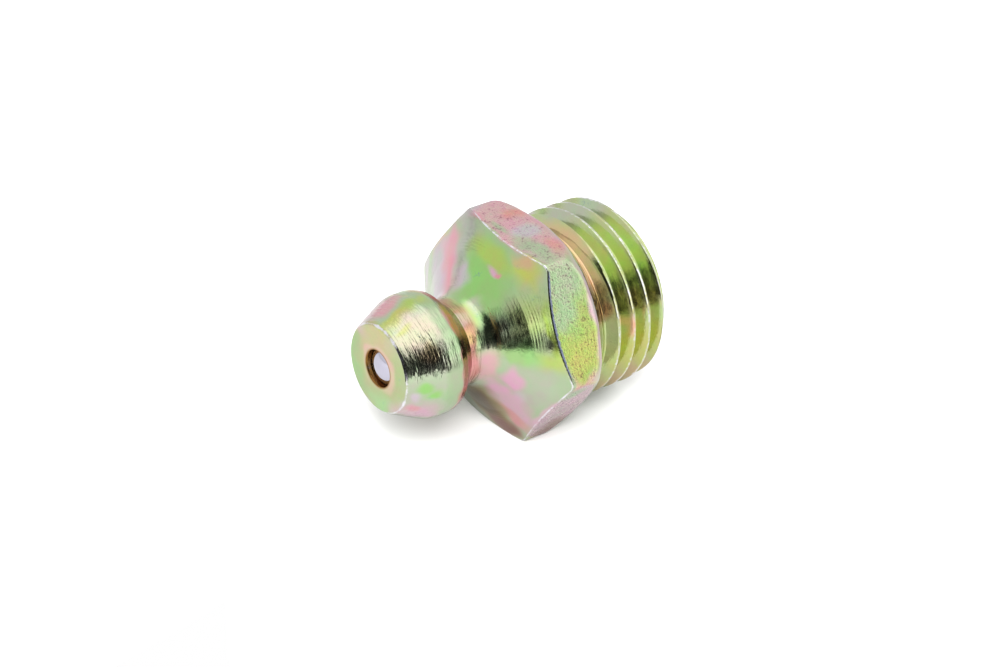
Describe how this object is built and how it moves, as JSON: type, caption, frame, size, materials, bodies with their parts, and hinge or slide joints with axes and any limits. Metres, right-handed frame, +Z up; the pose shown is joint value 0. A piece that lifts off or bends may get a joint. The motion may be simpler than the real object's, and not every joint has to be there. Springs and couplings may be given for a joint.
{
  "type": "grease nipple",
  "caption": "Straight hydraulic grease nipple: coupler head with a sprung check ball, neck, hexagon and short screwed shank.",
  "frame": {"origin": "middle of the seat, the hexagon's rear face, on the nipple's axis", "axes": "+X along the axis from the head to the screwed end, +Z up and square to the flat that the nipple lies on, +Y completes the frame"},
  "size_m": [0.0151, 0.0124, 0.011],
  "materials": {
    "plated_steel": "turned steel with a yellow iridescent zinc plating",
    "ball_steel": "polished bearing steel",
    "spring_steel": "bright drawn spring wire"
  },
  "bodies": {
    "nipple": {"body": "plated_steel", "spring": "spring_steel"},
    "check_ball": {"ball": "ball_steel"}
  },
  "joints": [
    {"name": "ball_slide", "type": "slide", "parent": "nipple", "child": "check_ball", "axis": [1, 0, 0], "range_m": [0, 0.0075], "stiffness_N_per_m": 1120, "springref_m": -0.001, "deforming": ["spring"]}
  ]
}
